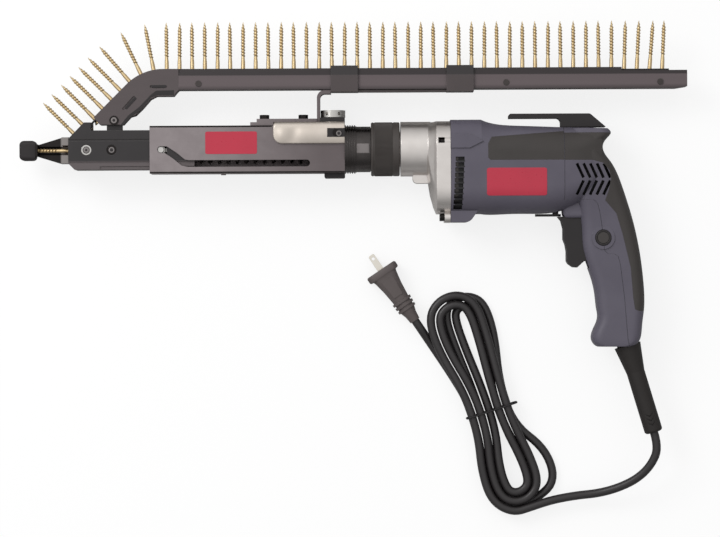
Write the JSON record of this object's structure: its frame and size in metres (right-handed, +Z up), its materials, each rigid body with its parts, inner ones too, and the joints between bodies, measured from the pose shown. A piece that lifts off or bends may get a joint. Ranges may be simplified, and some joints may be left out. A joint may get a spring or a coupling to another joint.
{
  "type": "collated screwdriver",
  "caption": "Corded drywall screwdriver lying on its side, with an auto-feed nose, a guide rail full of collated screws, pistol grip and tied cord.",
  "frame": {"origin": "under the middle of the tool (cord left out), on the surface it lies on", "axes": "+X along the drive axis from nose to motor, +Y from handle to screws, +Z up from the surface"},
  "size_m": [0.666, 0.4956, 0.0705],
  "materials": {
    "black_plastic": "moulded, fine grain",
    "feed_grey": "satin dark grey coat",
    "black_steel": "blackened steel",
    "nose_rubber": "matt",
    "bright_steel": "turned and plated",
    "cast_aluminium": "as cast, bead blasted",
    "zinc_screws": "yellow zinc",
    "strip_plastic": "moulded band",
    "casing_plastic": "moulded, fine grain",
    "grip_rubber": "soft grip",
    "cord_rubber": "round rubber cord",
    "blade_brass": "plated",
    "motor_iron": "laminated",
    "copper": "enamelled wire",
    "motor_plastic": "moulded",
    "carbon": "pressed carbon"
  },
  "bodies": {
    "tool": {"belt_hook": "black_plastic", "saddle_clip": "black_plastic", "top_plate": "black_plastic", "bracket_base": "black_plastic", "rail_carrier": "black_plastic", "rear_foot": "black_plastic", "feed_housing": "feed_grey", "threaded_adapter": "black_steel", "rear_block": "black_steel", "casing_screws": "black_steel", "rail_bracket": "black_steel", "clamp_screws": "bright_steel", "bearings": "bright_steel", "return_spring": "bright_steel", "gear_case": "cast_aluminium", "clamp_saddle": "cast_aluminium", "bearing_plate": "cast_aluminium", "motor_housing": "casing_plastic", "rear_cover": "casing_plastic", "rear_grip": "grip_rubber", "side_grips": "grip_rubber", "strain_relief": "grip_rubber", "cord_lead": "cord_rubber", "cord_hank": "cord_rubber", "cord_tail": "cord_rubber", "cord_tie": "cord_rubber", "plug_body": "cord_rubber", "plug_blades": "blade_brass", "field_core": "motor_iron", "field_coils": "copper", "brush_holders": "motor_plastic", "switch_module": "motor_plastic", "carbon_brushes": "carbon"},
    "carriage": {"nose_bumper": "nose_rubber", "nosepiece": "black_steel", "nosepiece_screws": "black_steel", "slide_body": "black_plastic", "sprocket_axles": "bright_steel", "rail_front_guide": "feed_grey", "feed_rail": "feed_grey", "rail_screws": "bright_steel", "screw_strip": "strip_plastic", "collated_screws": "zinc_screws"},
    "sprocket": {"feed_sprocket": "bright_steel"},
    "cam_lever": {"feed_lever": "bright_steel"},
    "spindle_set": {"spindle": "bright_steel", "spindle_gear": "bright_steel", "drive_bit": "bright_steel", "drive_screw": "zinc_screws"},
    "armature": {"armature_shaft": "bright_steel", "armature_core": "motor_iron", "armature_winding": "copper", "commutator": "copper", "cooling_fan": "motor_plastic"},
    "trigger_key": {"trigger": "black_plastic"},
    "lock_key": {"lock_button": "black_plastic"},
    "direction_lever": {"reverse_lever": "black_plastic"},
    "collar": {"depth_collar": "black_steel"},
    "nut": {"clamp_nut": "bright_steel"}
  },
  "joints": [
    {"name": "feed_slide", "type": "slide", "parent": "tool", "child": "carriage", "axis": [1, 0, 0], "range_m": [0, 0.058], "stiffness_N_per_m": 300, "springref_m": -0.03, "deforming": ["return_spring"]},
    {"name": "sprocket_turn", "type": "hinge", "parent": "carriage", "child": "sprocket", "pos_m": [-0.26563, 0.07905, 0.0345], "axis": [0, 0, 1], "continuous": true},
    {"name": "feed_lever_swing", "type": "hinge", "parent": "carriage", "child": "cam_lever", "pos_m": [-0.2405, 0.07905, 0.0345], "axis": [0, 0, 1], "range_deg": [-15.7, 0]},
    {"name": "armature_spin", "type": "hinge", "parent": "tool", "child": "armature", "pos_m": [0.147, 0.05905, 0.0345], "axis": [1, 0, 0], "continuous": true},
    {"name": "spindle_spin", "type": "hinge", "parent": "tool", "child": "spindle_set", "pos_m": [0.047, 0.07905, 0.0345], "axis": [1, 0, 0], "continuous": true},
    {"name": "trigger_pull", "type": "slide", "parent": "tool", "child": "trigger_key", "axis": [1, 0, 0], "range_m": [0, 0.006], "stiffness_N_per_m": 500, "springref_m": -0.004},
    {"name": "lock_button_press", "type": "slide", "parent": "tool", "child": "lock_key", "axis": [0, 0, -1], "range_m": [0, 0.003], "stiffness_N_per_m": 400, "springref_m": -0.002},
    {"name": "reverse_lever_swing", "type": "hinge", "parent": "tool", "child": "direction_lever", "pos_m": [0.2016, 0.01305, 0.0345], "axis": [0, 1, 0], "range_deg": [-12, 12]},
    {"name": "depth_collar_turn", "type": "hinge", "parent": "tool", "child": "collar", "pos_m": [0.032, 0.07905, 0.0345], "axis": [1, 0, 0], "range_deg": [-180, 180]},
    {"name": "clamp_nut_turn", "type": "hinge", "parent": "tool", "child": "nut", "pos_m": [-0.0203, 0.11405, 0.0345], "axis": [0, 1, 0], "continuous": true}
  ],
  "couplings": [
    {"joint": "feed_lever_swing", "follows": "feed_slide", "rad_per_m": -4.66},
    {"joint": "spindle_spin", "follows": "armature_spin", "ratio": -0.25}
  ]
}
